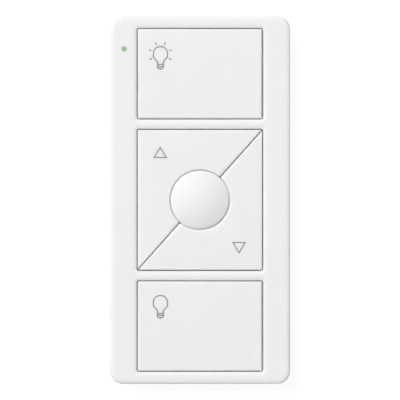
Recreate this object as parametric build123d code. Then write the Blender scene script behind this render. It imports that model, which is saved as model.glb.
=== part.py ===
from build123d import *
import math
import os

# Wireless lighting remote, in millimetres, lying on its flat back.
# Z = 0 is the back, +Z points out of the key face, +Y points to the On key's end,
# and +X is to the right for someone who looks at the keys.

# Face and windows
WINDOW_WIDTH = 22.7
END_WINDOW = 16.4  # length of the On and Off windows
MIDDLE_WINDOW = 25.5  # length of the Raise and Lower window
BAR = 1.7  # crossbar between two windows
BAR_FLAT = 0.12  # level strip left along the middle of a crossbar
SIDE_MARGIN = 4.8
END_MARGIN = 2.15
FACE_CORNER = 2.3
WINDOW_CORNER = 0.45
FACE_WALL = 1.4
SIDE_WALL = 1.0
INNER_CORNER = 0.3  # smallest corner inside a wall
LIP_WIDTH = 0.5  # slope that leads down into a window
LIP_DROP = 0.18
LIP_BLEND = 1.6
LIP_BEVEL = 0.06
RIM_WIDTH = 0.65  # slope that leads down to the side wall
RIM_DROP = 0.18
RIM_BLEND = 1.6
RIM_BEVEL = 0.12

# Keys
KEY_GAP = 0.15
KEY_RECESS = 0.1
KEY_PLATE = 0.9
KEY_SKIRT = 0.9
KEY_BEVEL = 0.25
KEY_TRAVEL = 0.4
FLANGE_REACH = 0.7
FLANGE_THICKNESS = 0.45
FLANGE_PLAY = 0.05  # under the face wall
FLANGE_SPACING = 0.3
SPLIT_GAP = 0.14  # between the Raise and Lower keys
STEM_SIDE = 2.2
STEM_LENGTH = 0.2
KEY_RIB = 0.7
RIB_HEIGHT = 0.2
BOARD_ROOM = 0.1  # above the board when a key is pressed

# Round key
ROUND_HOLE = 10.8
ROUND_GAP = 0.46  # wider than the other keys' gap, because its neighbours move too
DOME_RISE = 0.95
ROUND_REACH = 0.45
ROUND_FLANGE = 0.22
ROUND_PLAY = 0.28  # from the flange up to a pressed Raise or Lower key
RELIEF_ROOM = 0.45  # from the flange to the skirts of the Raise and Lower keys

# Circuit board, switches and indicator
BOARD_THICKNESS = 0.8
BOARD_FIT = 0.25
SWITCH_LENGTH = 3.6
SWITCH_WIDTH = 3.2
SWITCH_HEIGHT = 0.55
SWITCH_CORNER = 0.5
SWITCH_ROOM = 1.0  # from a corner switch to the key's skirt
TERMINAL_LENGTH = 0.5
TERMINAL_WIDTH = 0.6
TERMINAL_SHEET = 0.15
PLUNGER_LENGTH = 1.8
PLUNGER_WIDTH = 1.4
PLUNGER_FIT = 0.1
SPRING_SHEET = 0.05
SPRING_REACH = 0.3  # dome spring's foot past the plunger's bore
SPRING_FIT = 0.1
SWITCH_COVER = 0.15
INDICATOR_DIAMETER = 0.8
INDICATOR_INSET = 5.9  # from the On key's end
PIPE_FIT = 0.03
PIPE_COLLAR = 0.5
PIPE_FLANGE = 0.3
LED_WIDTH = 0.8
LED_LENGTH = 1.6
LED_HEIGHT = 0.6
LED_LENS = 1.0
LED_FRAME = 0.25
LED_GAP = 0.1

# Coin cell and contacts
CELL_DIAMETER = 20.0
CELL_THICKNESS = 3.2
CELL_CAP_DIAMETER = 17.4
CELL_CAP_STEP = 0.25
CELL_FIT = 0.25
CELL_RIB = 0.8
CELL_RIB_SPAN = 9.0
CELL_RIB_HEIGHT = 1.6
CLIP_SHEET = 0.2
CLIP_WIDTH = 7.0
CLIP_GAP = 0.1
CLIP_FIT = 0.15
CLIP_FOOT = 2.0
CLIP_BEND = 0.35
TONGUE_LENGTH = 5.0
TONGUE_WIDTH = 2.4
TONGUE_SLIT = 0.4
CONTACT_SHEET = 0.1
CONTACT_LENGTH = 9.0
CONTACT_WIDTH = 6.0
CONTACT_FINGER = 6.5
CONTACT_SLOT = 0.7

# Chips on the back of the board
CONTROLLER_SIDE = 5.0
RADIO_SIDE = 4.0
CHIP_HEIGHT = 0.85
CHIP_CHAMFER = 0.45
CRYSTAL_LENGTH = 3.2
CRYSTAL_WIDTH = 2.5
CRYSTAL_HEIGHT = 0.75
CRYSTAL_LID = 0.35
CRYSTAL_STEP = 0.15
CAPACITOR_LENGTH = 1.0
CAPACITOR_WIDTH = 0.5
CAPACITOR_END = 0.25
CAPACITOR_STEP = 0.03
CHIP_SPACING = 2.4
CHIP_ROOM = 0.7

# Rear cover
PARTING_HEIGHT = 2.4
PARTING_STEP = 0.2
REAR_WALL = 0.9
REAR_BEVEL = 0.8
REAR_RISE = 1.0
TONGUE_FIT = 0.1
TONGUE_WALL = 0.8
TONGUE_HEIGHT = 1.2
POST_SIDE = 2.0
POST_WEB = 0.8
POST_INSET = 5.5
POST_ROOM = 0.6
STANDOFF_WIDTH = 1.8
STANDOFF_LENGTH = 2.6
STANDOFF_SPREAD = 20.0  # each way from the middle of the board
SLOT_MOUTH = 12.0
SLOT_WIDTH = 15.0
SLOT_LIP = 0.6
SLOT_DEPTH = 1.4
SLOT_WALL = 0.9
SLOT_FLOOR = 0.8
SLOT_ROOM = 0.3
HOOK_SPREAD = 7.5
HOOK_WIDTH = 4.0
HOOK_REACH = 0.35
HOOK_RISE = 0.35  # above the parting plane
HOOK_FLAT = 0.25
HOOK_HEIGHT = 0.6
HOOK_ROOM = 0.15

# Cover screw and its bosses
SCREW_DIAMETER = 1.6
SCREW_INSET = 3.4
PILOT_FIT = 0.05
PILOT_SPARE = 0.3
SHANK_FIT = 0.15
HEAD_DIAMETER = 3.2
HEAD_HEIGHT = 1.0
HEAD_SINK = 0.2
HEAD_FIT = 0.2
HEAD_BEVEL = 0.4
RECESS_LENGTH = 1.7
RECESS_WIDTH = 0.42
RECESS_DEPTH = 0.6
SEAT_WALL = 1.0
SEAT_RING = 0.8
BOSS_DIAMETER = 3.6
BOSS_WEB = 2.4
BOSS_CAP = 0.6
BOSS_ROOM = 0.25

ROOT = 0.3  # how far a post or web is let into the wall that carries it
TOUCH = 0.001  # edges this near to a height lie at it

# Plan of the face
face_width = WINDOW_WIDTH + 2 * SIDE_MARGIN
face_length = 2 * END_WINDOW + MIDDLE_WINDOW + 2 * BAR + 2 * END_MARGIN
end_y = face_length / 2
end_key_y = MIDDLE_WINDOW / 2 + BAR + END_WINDOW / 2
split_angle = math.degrees(math.atan2(MIDDLE_WINDOW, WINDOW_WIDTH))
side_reach = min(FLANGE_REACH, SIDE_MARGIN - SIDE_WALL - FLANGE_SPACING)
bar_reach = min(FLANGE_REACH, (BAR - FLANGE_SPACING) / 2)
end_reach = min(FLANGE_REACH, END_MARGIN - SIDE_WALL - FLANGE_SPACING)
margin_x = (WINDOW_WIDTH / 2 + side_reach + face_width / 2 - SIDE_WALL) / 2
key_corner = max(WINDOW_CORNER - KEY_GAP, INNER_CORNER)
lip_width = min(LIP_WIDTH, BAR / 3)
round_flange_radius = ROUND_HOLE / 2 + ROUND_REACH
relief_radius = round_flange_radius + RELIEF_ROOM
bore_length = PLUNGER_LENGTH + 2 * PLUNGER_FIT
bore_width = PLUNGER_WIDTH + 2 * PLUNGER_FIT
spring_reach = bore_length / 2 + SPRING_REACH

# Heights, from the back to the face
parting_z = PARTING_HEIGHT
clip_low = REAR_WALL + CLIP_GAP
cell_low = clip_low + CLIP_SHEET
cell_high = cell_low + CELL_THICKNESS
board_low = cell_high + CONTACT_SHEET
board_high = board_low + BOARD_THICKNESS
switch_high = board_high + SWITCH_HEIGHT
plunger_high = switch_high + KEY_TRAVEL + SPRING_SHEET
plunger_low = plunger_high - SWITCH_HEIGHT
led_high = board_high + LED_HEIGHT
flange_floor = board_high + BOARD_ROOM + KEY_TRAVEL
face_z = max(
    flange_floor + FLANGE_THICKNESS + FLANGE_PLAY + FACE_WALL,
    plunger_high + STEM_LENGTH + KEY_PLATE + KEY_RECESS,
    flange_floor + ROUND_FLANGE + ROUND_PLAY + KEY_TRAVEL + KEY_PLATE + KEY_RECESS,
    led_high + LED_GAP + PIPE_FLANGE + FACE_WALL,
)
ceiling_z = face_z - FACE_WALL
key_face = face_z - KEY_RECESS
key_under = key_face - KEY_PLATE
flange_high = ceiling_z - FLANGE_PLAY
flange_low = flange_high - FLANGE_THICKNESS
round_flange_high = key_under - KEY_TRAVEL - ROUND_PLAY
round_flange_low = round_flange_high - ROUND_FLANGE
seat_z = HEAD_SINK + HEAD_HEIGHT
boss_low = seat_z + SEAT_WALL
boss_high = key_under - KEY_TRAVEL - BOARD_ROOM
pilot_high = boss_high - BOSS_CAP

# Places of the inner pieces
screw_y = end_y - SCREW_INSET
cell_radius = CELL_DIAMETER / 2
cell_rib_radius = cell_radius + CELL_FIT + CELL_RIB
cell_y = screw_y - BOSS_DIAMETER / 2 - BOSS_ROOM - cell_rib_radius
slot_end = cell_y - cell_rib_radius - SLOT_ROOM - SLOT_WALL
indicator = (-margin_x, end_y - INDICATOR_INSET)
corner_switch_x = WINDOW_WIDTH / 2 - KEY_GAP - KEY_SKIRT - SWITCH_ROOM - TERMINAL_LENGTH - SWITCH_LENGTH / 2
corner_switch_y = MIDDLE_WINDOW / 2 - KEY_GAP - KEY_SKIRT - SWITCH_ROOM - SWITCH_WIDTH / 2
switch_spots = {
    "on": (0, end_key_y),
    "raise": (-corner_switch_x, corner_switch_y),
    "favorite": (0, 0),
    "lower": (corner_switch_x, -corner_switch_y),
    "off": (0, -end_key_y),
}
standoffs = [(sx * margin_x, sy * STANDOFF_SPREAD) for sx in (-1, 1) for sy in (-1, 0, 1)]
cavity_inset = SIDE_WALL + TONGUE_FIT + TONGUE_WALL
post_x = face_width / 2 - cavity_inset - POST_ROOM - POST_SIDE / 2
post_y = end_y - POST_INSET
posts = [(sx * post_x, sy * post_y) for sx in (-1, 1) for sy in (-1, 0, 1)]
controller_spot = (-CHIP_SPACING - CONTROLLER_SIDE / 2, slot_end - CONTROLLER_SIDE / 2)
crystal_spot = (CHIP_SPACING + CRYSTAL_LENGTH / 2, slot_end - CONTROLLER_SIDE / 2)
radio_spot = (0, slot_end - CONTROLLER_SIDE - CHIP_SPACING - RADIO_SIDE / 2)


def slab(sketch, low, high):
    """A flat sketch raised from one height to another."""
    return extrude(Pos(0, 0, low) * sketch, amount=high - low)


def outline(inset):
    """The face's plan, moved in by one distance all round."""
    corner = max(FACE_CORNER - inset, INNER_CORNER)
    return RectangleRounded(face_width - 2 * inset, face_length - 2 * inset, corner)


def repeat(plan, spots):
    """One copy of a plan at each place."""
    return Sketch() + [Pos(x, y) * plan for x, y in spots]


def discs(spots, diameter):
    """One round spot at each place."""
    return repeat(Circle(diameter / 2), spots)


def boss_plan(room):
    """The housing's screw boss with the web that ties it to the end wall."""
    reach = end_y - SIDE_WALL + ROOT - screw_y
    web = Pos(0, screw_y + reach / 2) * Rectangle(BOSS_WEB + 2 * room, reach)
    return Pos(0, screw_y) * Circle(BOSS_DIAMETER / 2 + room) + web


def face_of(part):
    """The highest flat face."""
    return part.faces().sort_by(Axis.Z)[-1]


def edges_at(part, height):
    """The level edges at one height."""
    return part.edges().filter_by_position(Axis.Z, height - TOUCH, height + TOUCH)


def blend_radius(radius, width, drop, room):
    """A blend limited so that its run on the flat stays within the room there."""
    return min(radius, room / math.tan(math.atan2(drop, width) / 2))


def roll_windows(shell):
    """Leads the face down into each window over a slope that is blended into the face."""
    top = face_of(shell)
    edges = [edge for wire in top.inner_wires() for edge in wire.edges()]
    shell = chamfer(edges, length=lip_width, length2=LIP_DROP, reference=top)
    shell = chamfer(edges_at(shell, face_z - LIP_DROP), LIP_BEVEL)
    edges = [edge for wire in face_of(shell).inner_wires() for edge in wire.edges()]
    return fillet(edges, blend_radius(LIP_BLEND, lip_width, LIP_DROP, (BAR - BAR_FLAT) / 2 - lip_width))


def roll_rim(shell):
    """Leads the face down to the side walls in the same way."""
    top = face_of(shell)
    shell = chamfer(top.outer_wire().edges(), length=RIM_WIDTH, length2=RIM_DROP, reference=top)
    shell = chamfer(edges_at(shell, face_z - RIM_DROP), RIM_BEVEL)
    return fillet(face_of(shell).outer_wire().edges(), RIM_BLEND)


def hook_profile(grow):
    """A snap hook's side view: flat below, sloped above."""
    points = [
        (-ROOT, -grow),
        (HOOK_REACH + grow, -grow),
        (HOOK_REACH + grow, HOOK_FLAT + grow),
        (0, HOOK_HEIGHT + grow),
        (-ROOT, HOOK_HEIGHT + grow),
    ]
    return make_face(Polyline(points, close=True))


def hooks(grow):
    """The two snap hooks at the Off key's end, or the pockets that take them."""
    wall = -(end_y - SIDE_WALL - TONGUE_FIT)
    length = HOOK_WIDTH + 2 * grow
    place = Plane(origin=(0, wall, parting_z + HOOK_RISE), x_dir=(0, -1, 0), z_dir=(-1, 0, 0))
    hook = extrude(place * hook_profile(grow), amount=length / 2, both=True)
    return Pos(-HOOK_SPREAD, 0, 0) * hook + Pos(HOOK_SPREAD, 0, 0) * hook


def front_housing():
    shell = slab(outline(0), parting_z, face_z) - slab(outline(SIDE_WALL), parting_z, ceiling_z)
    for y, length in ((end_key_y, END_WINDOW), (0, MIDDLE_WINDOW), (-end_key_y, END_WINDOW)):
        shell -= slab(Pos(0, y) * RectangleRounded(WINDOW_WIDTH, length, WINDOW_CORNER), ceiling_z, face_z)
    shell = roll_rim(roll_windows(shell))
    pads = repeat(Rectangle(STANDOFF_WIDTH, STANDOFF_LENGTH), standoffs)
    shell += slab(pads, board_high, ceiling_z + ROOT)
    shell += slab(boss_plan(0), boss_low, boss_high)
    shell -= slab(discs([(0, screw_y)], SCREW_DIAMETER + 2 * PILOT_FIT), boss_low, pilot_high)
    shell -= slab(discs([indicator], INDICATOR_DIAMETER + 2 * PIPE_FIT), ceiling_z, face_z)
    return shell - hooks(HOOK_ROOM)


def accessory_slot():
    """The T-slot in the back, open at the Off key's end."""
    start = -end_y
    length = slot_end - start
    middle = (slot_end + start) / 2
    mouth = slab(Pos(0, middle) * Rectangle(SLOT_MOUTH, length), 0, SLOT_LIP)
    return mouth + slab(Pos(0, middle) * Rectangle(SLOT_WIDTH, length), SLOT_LIP, SLOT_DEPTH)


def slot_block(cavity):
    """The raised floor over the slot."""
    length = slot_end + SLOT_WALL + end_y
    plan = Pos(0, slot_end + SLOT_WALL - length / 2) * Rectangle(SLOT_WIDTH + 2 * SLOT_WALL, length)
    return slab(plan & cavity, REAR_WALL - ROOT, SLOT_DEPTH + SLOT_FLOOR)


def cell_fence():
    """The two curved ribs that hold the cell, clear of the clip."""
    ring = Circle(cell_rib_radius) - Circle(cell_radius + CELL_FIT)
    ring &= Rectangle(CELL_RIB_SPAN, 2 * cell_rib_radius)
    return slab(Pos(0, cell_y) * ring, REAR_WALL - ROOT, cell_low + CELL_RIB_HEIGHT)


def rear_cover():
    tray = slab(outline(PARTING_STEP), 0, parting_z)
    back = tray.faces().sort_by(Axis.Z)[0]
    tray = chamfer(back.edges(), length=REAR_BEVEL, length2=REAR_RISE, reference=back)
    cavity = Rectangle(face_width - 2 * cavity_inset, face_length - 2 * cavity_inset)
    tray += slab(outline(SIDE_WALL + TONGUE_FIT), parting_z - ROOT, parting_z + TONGUE_HEIGHT)
    tray -= slab(cavity, REAR_WALL, parting_z + TONGUE_HEIGHT)
    tray -= slab(boss_plan(BOSS_ROOM), boss_low, parting_z + TONGUE_HEIGHT)
    seat = discs([(0, screw_y)], HEAD_DIAMETER + 2 * HEAD_FIT + 2 * SEAT_RING)
    tray += slab(seat & cavity, REAR_WALL - ROOT, boss_low)
    cross = Rectangle(POST_SIDE, POST_WEB) + Rectangle(POST_WEB, POST_SIDE)
    tray += slab(repeat(cross, posts), REAR_WALL - ROOT, board_low)
    tray += slot_block(cavity) + cell_fence() + hooks(0)
    tray -= accessory_slot()
    tray -= slab(discs([(0, screw_y)], HEAD_DIAMETER + 2 * HEAD_FIT), 0, seat_z)
    return tray - slab(discs([(0, screw_y)], SCREW_DIAMETER + 2 * SHANK_FIT), seat_z, boss_low)


def cover_screw():
    """Pan-head screw with a cross recess, seen from the back."""
    head = slab(Circle(HEAD_DIAMETER / 2), HEAD_SINK, seat_z)
    head = chamfer(edges_at(head, HEAD_SINK), HEAD_BEVEL)
    shank = slab(Circle(SCREW_DIAMETER / 2), seat_z, pilot_high - PILOT_SPARE)
    cross = Rectangle(RECESS_LENGTH, RECESS_WIDTH) + Rectangle(RECESS_WIDTH, RECESS_LENGTH)
    screw = head + shank - slab(cross, HEAD_SINK, HEAD_SINK + RECESS_DEPTH)
    return Pos(0, screw_y, 0) * screw


def bevelled_block(plan):
    """A key's plan raised to the key face, with its upper edges bevelled."""
    block = slab(plan, flange_low, key_face)
    return chamfer(edges_at(block, key_face), KEY_BEVEL)


def key_cap(block, flange, hollow):
    """A hollow key: bevelled plate, skirt and the flange that holds it under the face wall."""
    block += slab(flange, flange_low, flange_high)
    return block - slab(hollow, flange_low, key_under)


def stem(spot, hollow):
    """The stem that meets the switch, with the low ribs that spread its load."""
    x, y = spot
    reach = 2 * face_length
    ribs = Pos(x, y) * (Rectangle(reach, KEY_RIB) + Rectangle(KEY_RIB, reach)) & hollow
    post = slab(Pos(x, y) * Rectangle(STEM_SIDE, STEM_SIDE), plunger_high, key_under + ROOT)
    return post + slab(ribs, key_under - RIB_HEIGHT, key_under + ROOT)


def end_key(side):
    """The On key (side +1) or the Off key (side -1)."""
    width = WINDOW_WIDTH - 2 * KEY_GAP
    length = END_WINDOW - 2 * KEY_GAP
    plan = Pos(0, end_key_y) * RectangleRounded(width, length, key_corner)
    hollow = Pos(0, end_key_y) * Rectangle(width - 2 * KEY_SKIRT, length - 2 * KEY_SKIRT)
    flange_length = END_WINDOW + bar_reach + end_reach
    flange_y = end_key_y + (end_reach - bar_reach) / 2
    flange = Pos(0, flange_y) * Rectangle(WINDOW_WIDTH + 2 * side_reach, flange_length)
    turn = 0 if side > 0 else 180
    cap = key_cap(bevelled_block(plan), flange, hollow) + stem((0, end_key_y), hollow)
    cap = Rot(0, 0, turn) * cap
    if side > 0:
        cap -= slab(boss_plan(BOSS_ROOM), flange_low, key_under)
    return cap


def raise_key():
    """The half of the middle square above its diagonal, bitten by the round key's hole."""
    reach = face_length
    half = Rot(0, 0, split_angle) * Pos(0, (reach + SPLIT_GAP) / 2) * Rectangle(2 * reach, reach)
    width = WINDOW_WIDTH - 2 * KEY_GAP
    length = MIDDLE_WINDOW - 2 * KEY_GAP
    bitten = half - Circle(ROUND_HOLE / 2)
    bitten = fillet(bitten.vertices().sort_by_distance((0, 0, 0))[:2], key_corner)
    block = bevelled_block(RectangleRounded(width, length, key_corner)) & bevelled_block(bitten)
    hollow = offset(Rectangle(width, length) & half, amount=-KEY_SKIRT, kind=Kind.INTERSECTION)
    flange = Rectangle(WINDOW_WIDTH + 2 * side_reach, MIDDLE_WINDOW + 2 * bar_reach) & half
    cap = key_cap(block, flange - Circle(relief_radius), hollow)
    cap -= slab(Circle(relief_radius), flange_low, key_under)
    return cap + stem(switch_spots["raise"], hollow - Circle(relief_radius))


def favorite_key():
    """The round key: a body that a shallow ball closes, with a flange and a recess for its switch."""
    radius = ROUND_HOLE / 2 - ROUND_GAP
    crown = key_face + DOME_RISE
    dome = (radius**2 + DOME_RISE**2) / (2 * DOME_RISE)
    ball = Pos(0, 0, crown - dome) * Rot(90, 0, 0) * Sphere(dome)
    cap = slab(Circle(radius), round_flange_low, crown) & ball
    cap += slab(Circle(round_flange_radius), round_flange_low, round_flange_high)
    return cap - slab(Circle(radius - KEY_SKIRT), round_flange_low, plunger_high)


def light_pipe():
    pin = slab(Circle(INDICATOR_DIAMETER / 2), led_high + LED_GAP, face_z)
    collar_side = INDICATOR_DIAMETER + 2 * PIPE_COLLAR
    collar = slab(Rectangle(collar_side, collar_side), led_high + LED_GAP, ceiling_z)
    return Pos(*indicator, 0) * (pin + collar)


def circuit_board():
    inset = SIDE_WALL + BOARD_FIT
    plan = Rectangle(face_width - 2 * inset, face_length - 2 * inset)
    plan = chamfer(plan.vertices(), max(FACE_CORNER - inset, INNER_CORNER))
    return slab(plan - boss_plan(BOSS_ROOM), board_low, board_high)


def switch_base(spot):
    """A tactile switch's body with its four terminals, its spring's chamber and its plunger's bore."""
    plan = Rectangle(SWITCH_LENGTH, SWITCH_WIDTH)
    body = slab(chamfer(plan.vertices(), SWITCH_CORNER), board_high, switch_high)
    terminal = Rectangle(SWITCH_LENGTH + 2 * TERMINAL_LENGTH, TERMINAL_WIDTH)
    offset_y = SWITCH_WIDTH / 2 - SWITCH_CORNER - TERMINAL_WIDTH / 2
    pair = Pos(0, offset_y) * terminal + Pos(0, -offset_y) * terminal
    body += slab(pair, board_high, board_high + TERMINAL_SHEET)
    chamber = Rectangle(2 * (spring_reach + SPRING_FIT), bore_width)
    body -= slab(chamber, board_high, switch_high - SWITCH_COVER)
    body -= slab(Rectangle(bore_length, bore_width), board_high, switch_high)
    return Pos(*spot, 0) * body


def dome_spring(spot):
    """The thin snap dome between the board and the plunger, trimmed to a strip on both sides."""
    rise = plunger_low - board_high
    outer = (spring_reach**2 + rise**2) / (2 * rise)
    arch = Circle(outer) - Circle(outer - SPRING_SHEET)
    arch = Pos(0, plunger_low - outer) * arch
    arch &= Pos(0, board_high + rise / 2) * Rectangle(2 * spring_reach, rise)
    return Pos(*spot, 0) * extrude(Plane.XZ * arch, amount=PLUNGER_WIDTH / 2, both=True)


def plunger(spot):
    """A switch's plunger, resting on the dome spring."""
    return Pos(*spot, 0) * slab(Rectangle(PLUNGER_LENGTH, PLUNGER_WIDTH), plunger_low, plunger_high)


def indicator_led():
    body = slab(Rectangle(LED_WIDTH, LED_LENGTH), board_high, board_high + LED_FRAME)
    lens = slab(Rectangle(LED_WIDTH, LED_LENS), board_high, led_high)
    return Pos(*indicator, 0) * (body + lens)


def coin_cell():
    """The can and the negative cap that stands proud towards the board."""
    cap = CELL_CAP_DIAMETER / 2
    shoulder = cell_high - CELL_CAP_STEP
    points = [
        (0, cell_low),
        (cell_radius, cell_low),
        (cell_radius, shoulder),
        (cap, shoulder),
        (cap, cell_high),
        (0, cell_high),
    ]
    profile = make_face(Polyline(points, close=True))
    return Pos(0, cell_y, 0) * revolve(Plane.XZ * profile, axis=Axis.Z)


def cell_clip():
    """A bent strap under the cell, with feet on the board and a sprung tongue in its base."""
    inner = cell_radius + CLIP_FIT
    outer = inner + CLIP_SHEET
    half = [
        (outer - CLIP_BEND, clip_low),
        (outer, clip_low + CLIP_BEND),
        (outer, board_low - CLIP_SHEET),
        (outer + CLIP_FOOT, board_low - CLIP_SHEET),
        (outer + CLIP_FOOT, board_low),
        (inner, board_low),
        (inner, cell_low),
    ]
    points = half + [(-x, z) for x, z in reversed(half)]
    profile = make_face(Polyline(points, close=True))
    strap = extrude(Plane.XZ * profile, amount=CLIP_WIDTH / 2, both=True)
    slit = Rectangle(TONGUE_LENGTH + TONGUE_SLIT, TONGUE_WIDTH + 2 * TONGUE_SLIT)
    slit -= Pos(-TONGUE_SLIT / 2, 0) * Rectangle(TONGUE_LENGTH, TONGUE_WIDTH)
    return Pos(0, cell_y, 0) * (strap - slab(slit, clip_low, cell_low))


def negative_contact():
    """A thin spring plate between the cell's cap and the board, slit into three fingers."""
    plate = Rectangle(CONTACT_LENGTH, CONTACT_WIDTH)
    slot = Pos((CONTACT_LENGTH - CONTACT_FINGER) / 2, 0) * Rectangle(CONTACT_FINGER, CONTACT_SLOT)
    plate -= [Pos(0, side * CONTACT_WIDTH / 6) * slot for side in (-1, 1)]
    return slab(Pos(0, cell_y) * plate, cell_high, board_low)


def chip(spot, side):
    """A flat square chip with its marked corner cut."""
    plan = Rectangle(side, side)
    plan = chamfer(plan.vertices().sort_by(Axis.X)[:1], CHIP_CHAMFER)
    return slab(Pos(*spot) * plan, board_low - CHIP_HEIGHT, board_low)


def crystal():
    """A ceramic base with a smaller metal lid."""
    low = board_low - CRYSTAL_HEIGHT
    base = slab(Rectangle(CRYSTAL_LENGTH, CRYSTAL_WIDTH), low + CRYSTAL_LID, board_low)
    lid = Rectangle(CRYSTAL_LENGTH - 2 * CRYSTAL_STEP, CRYSTAL_WIDTH - 2 * CRYSTAL_STEP)
    return Pos(*crystal_spot, 0) * (base + slab(lid, low, low + CRYSTAL_LID))


def chip_capacitors():
    """Ceramic capacitors at both sides of each chip, with metal ends that stand proud."""
    low = board_low - CAPACITOR_WIDTH
    middle = CAPACITOR_WIDTH - 2 * CAPACITOR_STEP
    block = slab(Rectangle(CAPACITOR_LENGTH, middle), low + CAPACITOR_STEP, board_low - CAPACITOR_STEP)
    ends = Rectangle(CAPACITOR_LENGTH, CAPACITOR_WIDTH)
    ends -= Rectangle(CAPACITOR_LENGTH - 2 * CAPACITOR_END, CAPACITOR_WIDTH)
    block += slab(ends, low, board_low)
    group = []
    for (x, y), side in ((controller_spot, CONTROLLER_SIDE), (radio_spot, RADIO_SIDE)):
        reach = side / 2 + CHIP_ROOM + CAPACITOR_LENGTH / 2
        for turn in (-1, 1):
            group.append(Pos(x + turn * reach, y + turn * side / 4, 0) * block)
    return Compound(children=group)


def build_parts():
    """Every piece of the remote by its name."""
    upper = raise_key()
    parts = {
        "front_housing": front_housing(),
        "rear_cover": rear_cover(),
        "cover_screw": cover_screw(),
        "on_key": end_key(1),
        "raise_key": upper,
        "favorite_key": favorite_key(),
        "lower_key": Rot(0, 0, 180) * upper,
        "off_key": end_key(-1),
        "light_pipe": light_pipe(),
        "circuit_board": circuit_board(),
        "indicator_led": indicator_led(),
        "coin_cell": coin_cell(),
        "cell_clip": cell_clip(),
        "negative_contact": negative_contact(),
        "microcontroller": chip(controller_spot, CONTROLLER_SIDE),
        "radio_chip": chip(radio_spot, RADIO_SIDE),
        "crystal": crystal(),
        "chip_capacitors": chip_capacitors(),
    }
    for name, spot in switch_spots.items():
        parts[f"{name}_switch"] = switch_base(spot)
        parts[f"{name}_dome_spring"] = dome_spring(spot)
        parts[f"{name}_plunger"] = plunger(spot)
    return parts


os.makedirs("parts", exist_ok=True)
for name, part in build_parts().items():
    export_step(part, f"parts/{name}.step")
    box = part.bounding_box()
    print(f"{name}: {box.size.X:.2f} x {box.size.Y:.2f} x {box.size.Z:.2f} mm, {part.volume:.2f} mm3")
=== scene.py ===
# %% [markdown]
# # A wireless lighting remote, finish by finish
#
# The remote is a slim white hand-held control: an On key, a middle square cut on
# its diagonal into Raise and Lower, a round domed key in the middle and an Off
# key. Its solids are loaded as they were designed, and this lesson dresses them:
# smooth moulded edges, a finish for every piece, the printed signs, the studio
# and the camera.

# %% Load the designed solids
import math

import bpy
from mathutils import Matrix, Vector


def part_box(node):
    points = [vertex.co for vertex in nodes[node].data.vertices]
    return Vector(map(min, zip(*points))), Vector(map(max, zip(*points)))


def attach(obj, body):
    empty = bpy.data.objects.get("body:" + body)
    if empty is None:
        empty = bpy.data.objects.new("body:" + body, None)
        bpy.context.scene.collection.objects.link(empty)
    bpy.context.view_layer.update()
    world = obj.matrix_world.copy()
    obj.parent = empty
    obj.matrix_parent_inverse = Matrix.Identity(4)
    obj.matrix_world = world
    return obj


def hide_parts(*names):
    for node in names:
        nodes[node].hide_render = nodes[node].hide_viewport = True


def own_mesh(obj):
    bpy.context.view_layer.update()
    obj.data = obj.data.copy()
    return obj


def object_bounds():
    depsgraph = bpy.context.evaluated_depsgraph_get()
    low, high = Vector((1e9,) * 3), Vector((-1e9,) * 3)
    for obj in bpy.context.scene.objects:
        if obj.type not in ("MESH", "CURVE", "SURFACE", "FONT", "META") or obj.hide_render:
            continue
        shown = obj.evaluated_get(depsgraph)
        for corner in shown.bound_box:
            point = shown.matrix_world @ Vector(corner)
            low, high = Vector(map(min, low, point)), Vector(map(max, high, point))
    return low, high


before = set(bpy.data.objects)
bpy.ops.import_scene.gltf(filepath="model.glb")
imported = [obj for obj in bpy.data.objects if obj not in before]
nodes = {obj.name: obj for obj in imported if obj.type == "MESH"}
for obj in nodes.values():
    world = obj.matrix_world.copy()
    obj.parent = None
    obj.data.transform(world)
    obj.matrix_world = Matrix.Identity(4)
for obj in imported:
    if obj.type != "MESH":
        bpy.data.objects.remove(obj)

MM = 0.001
cad_low, cad_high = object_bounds()
size_mm = [round(side / MM, 2) for side in cad_high - cad_low]
print("solids:", len(nodes), "size in mm:", size_mm)

# %% [markdown]
# ## Soft moulded edges
#
# A moulded shell has no knife edges. The solids carry narrow bevels where the
# real shell is rounded, so it is enough to shade each bevel as one soft turn.
# One could add more faces, but a small node group is lighter: it welds the loose
# triangles together, shades them smooth, and keeps an edge crisp only where two
# faces meet at a steep angle. A weighted normal step then keeps the wide flats
# flat, so that only the bevels bend the light.

# %% A node group that smooths edges up to a given angle
WELD = 0.0005 * MM
CRISP_ANGLE = math.radians(52)


def moulded_edges_group():
    group = bpy.data.node_groups.new("moulded_edges", "GeometryNodeTree")
    group.interface.new_socket("Geometry", in_out="INPUT", socket_type="NodeSocketGeometry")
    group.interface.new_socket("Geometry", in_out="OUTPUT", socket_type="NodeSocketGeometry")
    add = group.nodes.new
    source = add("NodeGroupInput")
    weld = add("GeometryNodeMergeByDistance")
    weld.inputs["Distance"].default_value = WELD
    soft = add("GeometryNodeSetShadeSmooth")
    angle = add("GeometryNodeInputMeshEdgeAngle")
    steep = add("FunctionNodeCompare")
    steep.data_type = "FLOAT"
    steep.operation = "GREATER_THAN"
    steep.inputs["B"].default_value = CRISP_ANGLE
    sharp = add("GeometryNodeSetShadeSmooth")
    sharp.domain = "EDGE"
    sharp.inputs["Shade Smooth"].default_value = False
    target = add("NodeGroupOutput")
    link = group.links.new
    link(source.outputs["Geometry"], weld.inputs["Geometry"])
    link(weld.outputs["Geometry"], soft.inputs["Geometry"])
    link(angle.outputs["Unsigned Angle"], steep.inputs["A"])
    link(soft.outputs["Geometry"], sharp.inputs["Geometry"])
    link(steep.outputs["Result"], sharp.inputs["Selection"])
    link(sharp.outputs["Geometry"], target.inputs["Geometry"])
    return group


# %% Give every solid its soft edges
LARGEST_FACES_RULE = 100  # the weight at which the largest faces alone set the normals
soft_edges = moulded_edges_group()


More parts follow.
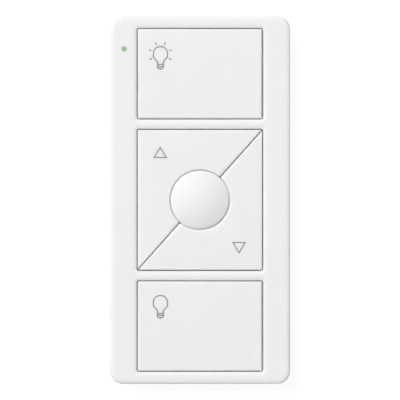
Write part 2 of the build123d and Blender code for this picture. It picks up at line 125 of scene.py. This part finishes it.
def soften(piece):
    edges = piece.modifiers.new("moulded_edges", "NODES")
    edges.node_group = soft_edges
    normals = piece.modifiers.new("flat_flats", "WEIGHTED_NORMAL")
    normals.weight = LARGEST_FACES_RULE
    normals.keep_sharp = True


for piece in nodes.values():
    soften(piece)
print("softened solids:", len(nodes))

# %% [markdown]
# ## Helpers for finishes
#
# Every finish starts from one Principled shader. What is the same all over a
# surface is set on the shader itself. What varies, such as a faint cloud in the
# colour or the grain of a mould, comes from noise that is read in the piece's own
# space, so it stays with the piece when a key moves.

# %% Finish helpers
def new_finish(name, roughness, metallic=0.0):
    finish = bpy.data.materials.new(name)
    finish.use_nodes = True
    shader = finish.node_tree.nodes["Principled BSDF"]
    shader.inputs["Roughness"].default_value = roughness
    shader.inputs["Metallic"].default_value = metallic
    return finish, shader


def own_space(finish):
    return finish.node_tree.nodes.new("ShaderNodeTexCoord").outputs["Object"]


def noise(finish, grain_mm, detail=3.0, stretch=(1, 1, 1)):
    tree = finish.node_tree
    mapping = tree.nodes.new("ShaderNodeMapping")
    mapping.inputs["Scale"].default_value = [side / (grain_mm * MM) for side in stretch]
    tree.links.new(own_space(finish), mapping.inputs["Vector"])
    texture = tree.nodes.new("ShaderNodeTexNoise")
    texture.inputs["Scale"].default_value = 1.0
    texture.inputs["Detail"].default_value = detail
    tree.links.new(mapping.outputs["Vector"], texture.inputs["Vector"])
    return texture.outputs["Fac"]


def cloud_color(finish, shader, factor, first, second):
    tree = finish.node_tree
    mix = tree.nodes.new("ShaderNodeMix")
    mix.data_type = "RGBA"
    mix.inputs["A"].default_value = (*first, 1)
    mix.inputs["B"].default_value = (*second, 1)
    tree.links.new(factor, mix.inputs["Factor"])
    tree.links.new(mix.outputs["Result"], shader.inputs["Base Color"])


def vary_roughness(finish, shader, factor, middle, swing):
    tree = finish.node_tree
    spread = tree.nodes.new("ShaderNodeMapRange")
    spread.inputs["To Min"].default_value = middle - swing
    spread.inputs["To Max"].default_value = middle + swing
    tree.links.new(factor, spread.inputs["Value"])
    tree.links.new(spread.outputs["Result"], shader.inputs["Roughness"])


def add_bump(finish, shader, height, depth_mm):
    tree = finish.node_tree
    bump = tree.nodes.new("ShaderNodeBump")
    bump.inputs["Distance"].default_value = depth_mm * MM
    bump.inputs["Strength"].default_value = 1.0
    tree.links.new(height, bump.inputs["Height"])
    tree.links.new(bump.outputs["Normal"], shader.inputs["Normal"])


def dress(finish, *names):
    for name in names:
        nodes[name].data.materials.clear()
        nodes[name].data.materials.append(finish)
    print(finish.name, "on", len(names), "solids")


# %% [markdown]
# ## White housing plastic
#
# The front housing and the rear cover are moulded in the same satin white
# plastic. A flat white looks like paper, so three things are added: a very faint
# cloud between two whites some millimetres across, the fine spark-eroded grain of
# the mould, which breaks up the gloss, and a little light that travels under the
# surface. White plastic lets light through its edges, and that is why the narrow
# gaps between real white keys look grey and not black.

# %% Recipe for satin plastic
CLOUD_MM = 9.0
SATIN_SWING = 0.05  # how far the grain moves the roughness up and down
SATIN_SHEEN = 0.2  # a fine mould grain throws back less than polished plastic
GLOW_SHARE = 0.6
GLOW_DEPTH = 0.5 * MM


def satin_plastic(name, first, second, roughness, grain_mm, grain_depth_mm):
    finish, shader = new_finish(name, roughness)
    cloud_color(finish, shader, noise(finish, grain_mm=CLOUD_MM), first, second)
    grain = noise(finish, grain_mm=grain_mm, detail=2.0)
    vary_roughness(finish, shader, grain, roughness, SATIN_SWING)
    add_bump(finish, shader, grain, grain_depth_mm)
    shader.inputs["Specular IOR Level"].default_value = SATIN_SHEEN
    shader.inputs["Subsurface Weight"].default_value = GLOW_SHARE
    shader.inputs["Subsurface Scale"].default_value = GLOW_DEPTH
    shader.inputs["Subsurface Radius"].default_value = (1, 1, 1)
    return finish


# %% Housing plastic
HOUSING_WHITE = (0.88, 0.88, 0.88)
HOUSING_WHITE_SHADE = (0.865, 0.865, 0.865)
housing_plastic = satin_plastic(
    "housing_plastic", HOUSING_WHITE, HOUSING_WHITE_SHADE,
    roughness=0.58, grain_mm=0.12, grain_depth_mm=0.002,
)
dress(housing_plastic, "front_housing", "rear_cover")

# %% [markdown]
# ## White key plastic
#
# The keys are moulded from a slightly glossier batch of the same white. They use
# the same recipe with a finer grain, so that under one light the keys and the
# housing part just enough to be told apart.

# %% Key plastic
KEY_WHITE = (0.875, 0.875, 0.875)
KEY_WHITE_SHADE = (0.86, 0.86, 0.86)
KEYS = ("on", "raise", "favorite", "lower", "off")
key_plastic = satin_plastic(
    "key_plastic", KEY_WHITE, KEY_WHITE_SHADE,
    roughness=0.54, grain_mm=0.09, grain_depth_mm=0.0015,
)
dress(key_plastic, *[f"{key}_key" for key in KEYS])

# %% [markdown]
# ## Round key
#
# The round key is one shallow dome with a soft rim that nearly fills its hole. Its
# solid has a sharp rim and leaves a wider ring, because the simulation's simplified
# neighbours need that room. A bevel step could soften the rim, but not close the
# ring. So the key is turned anew, as on a lathe: a few corners and two arcs give
# its side view, and a loop carries that view round the axis. A shelf just below the
# rim makes the ring a shallow groove, so it looks grey and not black. The turned
# key stands for the solid and moves with it.

# %% Side view of the round key
ROUND_RADIUS = 5.10 * MM
SHELF_RADIUS = 5.33 * MM
SHELF_DROP = 0.34 * MM  # below the key faces
RIM_ROUND = 0.12 * MM
FLANGE_SHEET = 0.22 * MM
RECESS_RADIUS = 4.04 * MM
RIM_STEPS = 6
DOME_STEPS = 24


def arc(radius, start, end, steps):
    """Points on an arc about the origin, both ends included."""
    angles = [start + (end - start) * i / steps for i in range(steps + 1)]
    return [(radius * math.cos(angle), radius * math.sin(angle)) for angle in angles]


def round_key_view():
    """Half of the key's side view, from the recess for its switch round to the crown."""
    low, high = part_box("favorite_key")
    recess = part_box("favorite_plunger")[1].z
    flange_top = low.z + FLANGE_SHEET
    key_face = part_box("raise_key")[1].z
    shelf = key_face - SHELF_DROP
    rise = high.z - key_face
    dome = (ROUND_RADIUS**2 + rise**2) / (2 * rise)
    dome_z = high.z - dome
    rim_x = ROUND_RADIUS - RIM_ROUND
    rim_z = math.sqrt((dome - RIM_ROUND) ** 2 - rim_x**2)
    lean = math.atan2(rim_z, rim_x)
    view = [(0, recess), (RECESS_RADIUS, recess), (RECESS_RADIUS, low.z)]
    view += [(high.x, low.z), (high.x, flange_top), (SHELF_RADIUS, flange_top)]
    view += [(SHELF_RADIUS, shelf), (ROUND_RADIUS, shelf)]
    view += [(rim_x + x, dome_z + rim_z + z) for x, z in arc(RIM_ROUND, 0, lean, RIM_STEPS)]
    crown = arc(dome, lean, math.pi / 2, DOME_STEPS)[1:-1]
    return view + [(x, dome_z + z) for x, z in crown] + [(0, high.z)]


# %% Turn the round key
TURN_STEPS = 144


def turned(name, view):
    """A closed mesh from half a side view that starts and ends on the axis."""
    start, end = 0, 1
    points = [(0, 0, view[0][1]), (0, 0, view[-1][1])]
    first = len(points)
    for x, z in view[1:-1]:
        points += [(px, py, z) for px, py in arc(x, 0, 2 * math.pi, TURN_STEPS)[:-1]]
    last = len(points) - TURN_STEPS
    faces = []
    for i in range(TURN_STEPS):
        j = (i + 1) % TURN_STEPS
        faces += [(start, first + j, first + i), (last + i, last + j, end)]
        for ring in range(first, last, TURN_STEPS):
            above = ring + TURN_STEPS
            faces.append((ring + i, ring + j, above + j, above + i))
    mesh = bpy.data.meshes.new(name)
    mesh.from_pydata(points, [], faces)
    piece = bpy.data.objects.new(name, mesh)
    bpy.context.scene.collection.objects.link(piece)
    return piece


round_key = turned("round_key", round_key_view())
round_key.data.materials.append(key_plastic)
soften(round_key)
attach(round_key, "favorite_button")
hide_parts("favorite_key")
print("round key with", len(round_key.data.polygons), "faces")

# %% [markdown]
# ## Green indicator
#
# A small light pipe carries the indicator's light to the bezel. It is a clear
# tinted plastic, but it is only 0.8 mm across and looks like a flat green dot, so
# a green body with a smooth coat is enough. A soft noise keeps the middle and the
# rim from being one flat colour.

# %% Indicator lens
LENS_GREEN = (0.36, 0.60, 0.31)
LENS_GREEN_SHADE = (0.31, 0.54, 0.26)
LENS_COAT = 0.4
indicator_lens, lens_shader = new_finish("indicator_lens", roughness=0.2)
lens_shader.inputs["Coat Weight"].default_value = LENS_COAT
lens_cloud = noise(indicator_lens, grain_mm=0.3)
cloud_color(indicator_lens, lens_shader, lens_cloud, LENS_GREEN, LENS_GREEN_SHADE)
dress(indicator_lens, "light_pipe")

# %% [markdown]
# ## Metals inside
#
# The coin cell, the clip, the contact, the snap springs, the screw and the
# crystal's lid are metals with different grains. Rolled sheet has long fine lines
# along one way, a turned or plated part has an even speckle. One recipe with a
# stretched noise gives all of them.

# %% Metal recipe
METAL_SWING = 0.08
METAL_GRAIN_DEPTH_MM = 0.002


def worked_metal(name, color, shade, roughness, grain_mm, stretch=(1, 1, 1)):
    finish, shader = new_finish(name, roughness, metallic=1.0)
    grain = noise(finish, grain_mm=grain_mm, stretch=stretch)
    cloud_color(finish, shader, grain, color, shade)
    vary_roughness(finish, shader, grain, roughness, METAL_SWING)
    add_bump(finish, shader, grain, METAL_GRAIN_DEPTH_MM)
    return finish


# %% Metals on their pieces
ALONG_X = (0.05, 1, 1)
spring_steel = worked_metal(
    "spring_steel", (0.62, 0.60, 0.56), (0.52, 0.50, 0.47),
    roughness=0.3, grain_mm=0.05, stretch=ALONG_X,
)
dress(spring_steel, *[f"{key}_dome_spring" for key in KEYS])
screw_steel = worked_metal(
    "screw_steel", (0.58, 0.58, 0.58), (0.48, 0.48, 0.49),
    roughness=0.32, grain_mm=0.08,
)
dress(screw_steel, "cover_screw")
cell_steel = worked_metal(
    "cell_steel", (0.66, 0.65, 0.63), (0.58, 0.57, 0.55),
    roughness=0.28, grain_mm=0.15, stretch=ALONG_X,
)
dress(cell_steel, "coin_cell")
contact_steel = worked_metal(
    "contact_steel", (0.70, 0.67, 0.60), (0.60, 0.57, 0.51),
    roughness=0.3, grain_mm=0.06, stretch=ALONG_X,
)
dress(contact_steel, "cell_clip", "negative_contact")
crystal_can = worked_metal(
    "crystal_can", (0.64, 0.62, 0.58), (0.55, 0.53, 0.50),
    roughness=0.35, grain_mm=0.05,
)
dress(crystal_can, "crystal")

# %% [markdown]
# ## Snap springs
#
# Under each plunger lies a strip of spring steel with an arch in it. Pressing the
# key flattens the arch until it snaps, and that click is what a thumb feels. A
# solid can't bend, so a copy of each strip stands for it here and is kept with the
# remote as a whole. A rigged bend would be closer to the metal, but nothing more
# than the height of the arch matters at this size.

# %% Copy each spring to stand for its solid
for key in KEYS:
    solid = nodes[f"{key}_dome_spring"]
    spring = bpy.data.objects.new(f"{key}_snap_spring", solid.data.copy())
    bpy.context.scene.collection.objects.link(spring)
    soften(spring)
    foot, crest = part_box(f"{key}_dome_spring")
    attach(spring, "remote")
    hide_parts(f"{key}_dome_spring")
    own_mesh(spring)
    print(spring.name, "with an arch of", round((crest.z - foot.z) / MM, 3), "mm")

# %% [markdown]
# ## Board, switches and chips
#
# The board is a glass laminate under green solder mask. Its tracks show as
# slightly lighter lines, and a brick pattern read in the board's own space gives
# such right-angled lines at no cost in faces. The switches are black moulded
# housings with pale plungers, and the chips are matt resin.

# %% Solder mask with tracks
MASK_GREEN = (0.030, 0.150, 0.060, 1)
MASK_GREEN_SHADE = (0.024, 0.125, 0.050, 1)
TRACK_GREEN = (0.050, 0.220, 0.090, 1)
TRACK_WIDTH = 0.12 * MM
TRACK_LENGTH = 4.2 * MM
TRACK_SPACING = 1.3 * MM
TRACK_RISE_MM = 0.02


def solder_mask():
    finish, shader = new_finish("board_laminate", roughness=0.35)
    tree = finish.node_tree
    bricks = tree.nodes.new("ShaderNodeTexBrick")
    bricks.inputs["Color1"].default_value = MASK_GREEN
    bricks.inputs["Color2"].default_value = MASK_GREEN_SHADE
    bricks.inputs["Mortar"].default_value = TRACK_GREEN
    bricks.inputs["Scale"].default_value = 1.0
    bricks.inputs["Mortar Size"].default_value = TRACK_WIDTH
    bricks.inputs["Brick Width"].default_value = TRACK_LENGTH
    bricks.inputs["Row Height"].default_value = TRACK_SPACING
    tree.links.new(own_space(finish), bricks.inputs["Vector"])
    tree.links.new(bricks.outputs["Color"], shader.inputs["Base Color"])
    add_bump(finish, shader, bricks.outputs["Fac"], TRACK_RISE_MM)
    return finish


dress(solder_mask(), "circuit_board")

# %% Recipe for moulded and fired small parts
SPECKLE_DEPTH_MM = 0.004


def speckled(name, color, shade, roughness, grain_mm):
    finish, shader = new_finish(name, roughness)
    grain = noise(finish, grain_mm=grain_mm, detail=4.0)
    cloud_color(finish, shader, grain, color, shade)
    add_bump(finish, shader, grain, SPECKLE_DEPTH_MM)
    return finish


# %% Small parts in their finishes
switch_plastic = speckled(
    "switch_plastic", (0.030, 0.030, 0.032), (0.045, 0.045, 0.047), roughness=0.5, grain_mm=0.1,
)
dress(switch_plastic, *[f"{key}_switch" for key in KEYS])
plunger_plastic = speckled(
    "plunger_plastic", (0.75, 0.74, 0.70), (0.68, 0.67, 0.63), roughness=0.45, grain_mm=0.1,
)
dress(plunger_plastic, *[f"{key}_plunger" for key in KEYS])
chip_resin = speckled(
    "chip_resin", (0.022, 0.022, 0.023), (0.036, 0.036, 0.037), roughness=0.6, grain_mm=0.06,
)
dress(chip_resin, "microcontroller", "radio_chip")
capacitor_ceramic = speckled(
    "capacitor_ceramic", (0.42, 0.30, 0.19), (0.50, 0.37, 0.25), roughness=0.5, grain_mm=0.05,
)
dress(capacitor_ceramic, "chip_capacitors")
led_package = speckled(
    "led_package", (0.78, 0.76, 0.68), (0.70, 0.68, 0.58), roughness=0.4, grain_mm=0.05,
)
dress(led_package, "indicator_led")

# %% [markdown]
# ## Printed signs
#
# Four line signs are pad-printed on the keys: a lit bulb, an unlit bulb and two
# triangles. Ink has a real thickness, so each line is a thin closed ribbon that
# follows a short path and lies on its key. Round stretches are worked out as
# arcs. Each sign rides on its own key, so that it goes down with it.

# %% A ribbon of ink along a path
INK_WIDTH = 0.19 * MM
INK_HEIGHT = 0.012 * MM
INK_ROOT = 0.004 * MM  # how far the ribbon reaches into its key


def side_steps(path, closed):
    """For each point of a path, the step to the ribbon's left edge, mitred at the corners."""
    steps = []
    count = len(path)
    for i, point in enumerate(path):
        before = path[i - 1] if closed or i > 0 else None
        after = path[(i + 1) % count] if closed or i < count - 1 else None
        ways = [(b - a).normalized() for a, b in ((before, point), (point, after)) if a and b]
        sides = [Vector((-way.y, way.x)) for way in ways]
        mitre = (sides[0] + sides[-1]).normalized()
        steps.append(mitre * (INK_WIDTH / 2 / mitre.dot(sides[0])))
    return steps


def add_ribbon(points, faces, path, closed, low, high):
    """Adds one closed ribbon to the lists of points and faces."""
    path = [Vector(point) for point in path]
    sections = []
    for point, step in zip(path, side_steps(path, closed)):
        section = [(edge.x, edge.y, z) for edge in (point + step, point - step) for z in (low, high)]
        sections.append(range(len(points), len(points) + len(section)))
        points.extend(section)
    stretches = list(zip(sections, sections[1:]))
    if closed:
        stretches.append((sections[-1], sections[0]))
    for (a, b, c, d), (next_a, next_b, next_c, next_d) in stretches:
        faces.append((b, d, next_d, next_b))
        faces.append((a, next_a, next_c, c))
        faces.append((a, b, next_b, next_a))
        faces.append((c, next_c, next_d, d))
    if not closed:
        a, b, c, d = sections[0]
        faces.append((a, c, d, b))
        a, b, c, d = sections[-1]
        faces.append((a, b, d, c))


# %% Path of the bulb
GLOBE_RADIUS = 1.264 * MM
GLOBE_MIDDLE = 0.10 * MM  # height of the middle of the globe's round part
SHOULDER = -0.42 * MM  # where the straight sides end
SHOULDER_ROUND = 0.60 * MM
SHOULDER_TURN = math.radians(45)
NECK_HALF = 0.52 * MM
NECK_TOP = -1.41 * MM
NECK_LOW = -2.50 * MM
BASE_LOW = -2.69 * MM
BASE_HALF = 0.34 * MM
TIP_HALF = 0.12 * MM
TIP_LOW = -2.84 * MM
CROSS_LINES = (-1.94 * MM, -2.31 * MM)
GLOBE_STEPS = 28
SHOULDER_STEPS = 6


def mirrored(path):
    return [(-x, y) for x, y in path]


def bulb_paths():
    """The bulb about the middle of its globe, as (path, closed) pairs."""
    rise = GLOBE_RADIUS - GLOBE_MIDDLE
    globe = [(GLOBE_RADIUS * x, GLOBE_MIDDLE + rise * y) for x, y in arc(1, 0, math.pi, GLOBE_STEPS)]
    turn = arc(SHOULDER_ROUND, math.pi, math.pi + SHOULDER_TURN, SHOULDER_STEPS)
    shoulder = [(SHOULDER_ROUND - GLOBE_RADIUS + x, SHOULDER + y) for x, y in turn]
    neck = [(-NECK_HALF, NECK_TOP), (-NECK_HALF, NECK_LOW)]
    foot = [(-BASE_HALF, BASE_LOW), (-TIP_HALF, BASE_LOW), (0, TIP_LOW)]
    left = shoulder + neck + foot
    right = mirrored(reversed(left[:-1]))
    lines = [([(-NECK_HALF, y), (NECK_HALF, y)], False) for y in CROSS_LINES]
    return [(globe + left + right, True)] + lines


# %% Paths of the rays and the triangle
RAY_START = 1.70 * MM
RAY_ENDS = {66: 2.19 * MM, 18: 2.15 * MM, -29: 2.25 * MM}  # by the angle in degrees
TRIANGLE_HALF = 1.10 * MM
TRIANGLE_HEIGHT = 1.82 * MM


def ray_paths():
    paths = []
    for angle, end in RAY_ENDS.items():
        across = math.cos(math.radians(angle))
        up = math.sin(math.radians(angle))
        ray = [(RAY_START * across, RAY_START * up), (end * across, end * up)]
        paths += [(ray, False), (mirrored(ray), False)]
    return paths


def triangle_paths(way):
    corners = [(-TRIANGLE_HALF, 0), (TRIANGLE_HALF, 0), (0, way * TRIANGLE_HEIGHT)]
    return [(corners, True)]


# %% Ink finish
INK_GREY = (0.25, 0.25, 0.255)
INK_GREY_SHADE = (0.29, 0.29, 0.295)
sign_ink, ink_shader = new_finish("sign_ink", roughness=0.55)
cloud_color(sign_ink, ink_shader, noise(sign_ink, grain_mm=0.4), INK_GREY, INK_GREY_SHADE)
print("finish for the signs:", sign_ink.name)


# %% Print the four signs
def print_sign(name, key, middle, paths):
    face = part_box(f"{key}_key")[1].z
    x, y = middle
    points = []
    faces = []
    for path, closed in paths:
        placed = [(x + px, y + py) for px, py in path]
        add_ribbon(points, faces, placed, closed, face - INK_ROOT, face + INK_HEIGHT)
    mesh = bpy.data.meshes.new(name)
    mesh.from_pydata(points, [], faces)
    mesh.validate()
    mesh.materials.append(sign_ink)
    sign = bpy.data.objects.new(name, mesh)
    bpy.context.scene.collection.objects.link(sign)
    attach(sign, f"{key}_button")
    print(name, "with", len(faces), "faces on", key)


LIT_BULB = (-7.10 * MM, 26.27 * MM)
BULB = (-7.10 * MM, -18.40 * MM)
UP_ARROW = (-7.14 * MM, 7.63 * MM)
DOWN_ARROW = (7.01 * MM, -7.63 * MM)
print_sign("lit_bulb_sign", "on", LIT_BULB, bulb_paths() + ray_paths())
print_sign("bulb_sign", "off", BULB, bulb_paths())
print_sign("up_sign", "raise", UP_ARROW, triangle_paths(1))
print_sign("down_sign", "lower", DOWN_ARROW, triangle_paths(-1))

# %% [markdown]
# ## Studio floor
#
# The remote lies on a pale floor. A shot for a catalogue has a white ground, and
# that is done in the floor's material: seen by the camera it glows just under
# white and catches some of the lamp's light, so it ends up white but keeps a faint
# shadow. Mirrored or seen through something clear it looks the same, and to every
# other ray it is a plain pale floor. The glow fades where the remote covers the
# floor closely, a painted shade at its edges and inside the bracket slot, which
# would otherwise shine from inside.
#
# So that the back can be looked at as well, as on a glass table, the floor is clear
# from below and has a window under the remote, which lets light in and is covered
# from above. A tongue of floor closes the window under the open end of the slot.

# %% Floor finish
FLOOR_GLOW = 0.90
FLOOR_CATCH = 0.22  # what the seen floor throws back, on top of its glow
FLOOR_PALE = 0.60
# the next three numbers set a painted shade: the floor's glow dims where the remote covers it
COVER_REACH = 3.0 * MM  # how far up the floor looks for what covers it
COVERED = 0.30  # share of open sky at which the glow is out
OPEN = 0.55  # share from which it is full


def background_rays(tree):
    """One for rays that show the background, straight, mirrored or through glass."""
    path = tree.nodes.new("ShaderNodeLightPath")
    either = path.outputs["Is Camera Ray"]
    for name in ("Is Glossy Ray", "Is Transmission Ray"):
        larger = tree.nodes.new("ShaderNodeMath")
        larger.operation = "MAXIMUM"
        tree.links.new(either, larger.inputs[0])
        tree.links.new(path.outputs[name], larger.inputs[1])
        either = larger.outputs["Value"]
    return either


def glow_with_painted_shade(tree):
    """The glow of the seen floor, which goes out where the remote covers it: painted shade at the
    remote's edges and in its slot.
    """
    sky = tree.nodes.new("ShaderNodeAmbientOcclusion")
    sky.inputs["Distance"].default_value = COVER_REACH
    painted_shade = tree.nodes.new("ShaderNodeMapRange")
    painted_shade.inputs["From Min"].default_value = COVERED
    painted_shade.inputs["From Max"].default_value = OPEN
    painted_shade.inputs["To Max"].default_value = FLOOR_GLOW
    glow = tree.nodes.new("ShaderNodeEmission")
    tree.links.new(sky.outputs["AO"], painted_shade.inputs["Value"])
    tree.links.new(painted_shade.outputs["Result"], glow.inputs["Strength"])
    return glow.outputs["Emission"]


def floor_finish():
    finish = bpy.data.materials.new("studio_floor")
    finish.use_nodes = True
    tree = finish.node_tree
    tree.nodes.remove(tree.nodes["Principled BSDF"])
    pale = tree.nodes.new("ShaderNodeBsdfDiffuse")
    pale.inputs["Color"].default_value = (FLOOR_PALE, FLOOR_PALE, FLOOR_PALE, 1)
    catch = tree.nodes.new("ShaderNodeBsdfDiffuse")
    catch.inputs["Color"].default_value = (FLOOR_CATCH, FLOOR_CATCH, FLOOR_CATCH, 1)
    seen = tree.nodes.new("ShaderNodeAddShader")
    tree.links.new(catch.outputs["BSDF"], seen.inputs[0])
    # the seen floor's glow carries a painted shade under and beside the remote
    tree.links.new(glow_with_painted_shade(tree), seen.inputs[1])
    choose = tree.nodes.new("ShaderNodeMixShader")
    tree.links.new(background_rays(tree), choose.inputs["Fac"])
    tree.links.new(pale.outputs["BSDF"], choose.inputs[1])
    tree.links.new(seen.outputs["Shader"], choose.inputs[2])
    clear = tree.nodes.new("ShaderNodeBsdfTransparent")
    underside = tree.nodes.new("ShaderNodeNewGeometry").outputs["Backfacing"]
    side = tree.nodes.new("ShaderNodeMixShader")
    tree.links.new(underside, side.inputs["Fac"])
    tree.links.new(choose.outputs["Shader"], side.inputs[1])
    tree.links.new(clear.outputs["BSDF"], side.inputs[2])
    tree.links.new(side.outputs["Shader"], tree.nodes["Material Output"].inputs["Surface"])
    return finish


# %% Floor with its window
FLOOR_HALF = 2.0
FLOOR_DROP = 0.02 * MM  # so that the floor and the back aren't in one plane
WINDOW_INSET = 0.9 * MM  # from the rear cover's sides, within its flat back
CORNER_CUT = 1.2 * MM  # keeps the window under the rounded corners of the back
TONGUE_HALF = 6.0 * MM  # half of the slot's mouth
TONGUE_LENGTH = 4.0 * MM
CORNERS = ((-1, -1), (1, -1), (1, 1), (-1, 1))
back_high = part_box("rear_cover")[1]
window_x = back_high.x - WINDOW_INSET
window_y = back_high.y - WINDOW_INSET


def floor_sheets():
    """The floor's flat sheets by their corners: strips round the window, its cut corners, the tongue."""
    outer = [(x * FLOOR_HALF, y * FLOOR_HALF) for x, y in CORNERS]
    inner = [(x * window_x, y * window_y) for x, y in CORNERS]
    sheets = [(outer[i - 1], outer[i], inner[i], inner[i - 1]) for i in range(len(CORNERS))]
    for x, y in CORNERS:
        corner = (x * window_x, y * window_y)
        along_x = (x * (window_x - CORNER_CUT), y * window_y)
        along_y = (x * window_x, y * (window_y - CORNER_CUT))
        sheets.append((corner, along_x, along_y) if x == y else (corner, along_y, along_x))
    tongue_middle = TONGUE_LENGTH / 2 - window_y
    sheets.append([(x * TONGUE_HALF, tongue_middle + y * TONGUE_LENGTH / 2) for x, y in CORNERS])
    return sheets


floor_z = cad_low.z - FLOOR_DROP
floor_points = []
floor_faces = []
for sheet in floor_sheets():
    floor_faces.append(range(len(floor_points), len(floor_points) + len(sheet)))
    floor_points += [(x, y, floor_z) for x, y in sheet]
floor_mesh = bpy.data.meshes.new("studio_floor")
floor_mesh.from_pydata(floor_points, [], floor_faces)
floor_mesh.materials.append(floor_finish())
floor = bpy.data.objects.new("studio_floor", floor_mesh)
bpy.context.scene.collection.objects.link(floor)
print("floor window in mm:", [round(2 * side / MM, 1) for side in (window_x, window_y)])

# %% [markdown]
# ## Light
#
# One broad soft lamp stands at the upper left, and an even white world fills the
# rest. The slopes of the lips and the dome show the ratio: towards the lamp they
# are a little brighter than the flats, away from it clearly darker. About three
# quarters from the lamp and one quarter from the world gives that. Below the floor
# the world is brighter, because there it is the only light on the back.

# %% Lamp
LAMP_TILT = math.radians(33)
LAMP_TURN = math.radians(135)  # towards -X and +Y
LAMP_DISTANCE = 2.0
LAMP_SIDE = 1.0
LAMP_LEVEL = 0.91  # light on a surface that faces the lamp, where 1 shows a colour as written
lamp_data = bpy.data.lights.new("key_lamp", "AREA")
lamp_data.shape = "SQUARE"
lamp_data.size = LAMP_SIDE
lamp_data.energy = LAMP_LEVEL * (math.pi * LAMP_DISTANCE) ** 2
lamp = bpy.data.objects.new("key_lamp", lamp_data)
bpy.context.scene.collection.objects.link(lamp)
flat = math.sin(LAMP_TILT)
to_lamp = Vector((flat * math.cos(LAMP_TURN), flat * math.sin(LAMP_TURN), math.cos(LAMP_TILT)))
lamp.location = to_lamp * LAMP_DISTANCE
lamp.rotation_mode = "QUATERNION"
lamp.rotation_quaternion = to_lamp.to_track_quat("Z", "Y")
print("lamp power in W:", round(lamp_data.energy, 2))

# %% World fill
WORLD_LEVEL = 0.285
UNDER_LEVEL = 1.0
HORIZON = 0.01  # half the height of the band in which one level turns into the other
WHITE = (1, 1, 1, 1)


def world_fill():
    world = bpy.data.worlds.new("studio_world")
    world.use_nodes = True
    tree = world.node_tree
    way = tree.nodes.new("ShaderNodeTexCoord")
    height = tree.nodes.new("ShaderNodeSeparateXYZ")
    tree.links.new(way.outputs["Generated"], height.inputs["Vector"])
    level = tree.nodes.new("ShaderNodeMapRange")
    level.inputs["From Min"].default_value = -HORIZON
    level.inputs["From Max"].default_value = HORIZON
    level.inputs["To Min"].default_value = UNDER_LEVEL
    level.inputs["To Max"].default_value = WORLD_LEVEL
    tree.links.new(height.outputs["Z"], level.inputs["Value"])
    fill = tree.nodes["Background"]
    fill.inputs["Color"].default_value = WHITE
    tree.links.new(level.outputs["Result"], fill.inputs["Strength"])
    seen = tree.nodes.new("ShaderNodeBackground")
    seen.inputs["Color"].default_value = WHITE
    seen.inputs["Strength"].default_value = 1.0
    choose = tree.nodes.new("ShaderNodeMixShader")
    path = tree.nodes.new("ShaderNodeLightPath")
    tree.links.new(path.outputs["Is Camera Ray"], choose.inputs["Fac"])
    tree.links.new(fill.outputs["Background"], choose.inputs[1])
    tree.links.new(seen.outputs["Background"], choose.inputs[2])
    tree.links.new(choose.outputs["Shader"], tree.nodes["World Output"].inputs["Surface"])
    return world


bpy.context.scene.world = world_fill()
bpy.context.scene.view_settings.view_transform = "Standard"
print("world level:", WORLD_LEVEL)

# %% [markdown]
# ## Camera
#
# The remote is seen square on, with no visible perspective. A long lens from well
# above gives that. Its distance follows from how much of the face plane the
# square picture covers.

# %% Camera
VIEW_SIDE = 71.74 * MM  # what the picture covers at the height of the face
LENS_MM = 200.0
SENSOR_MM = 36.0
face_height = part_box("front_housing")[1].z
camera_data = bpy.data.cameras.new("camera")
camera_data.lens = LENS_MM
camera_data.sensor_width = SENSOR_MM
camera = bpy.data.objects.new("camera", camera_data)
bpy.context.scene.collection.objects.link(camera)
camera.location = (0, 0, face_height + VIEW_SIDE * LENS_MM / SENSOR_MM)
bpy.context.scene.camera = camera
print("camera height in mm:", round(camera.location.z / MM, 1))
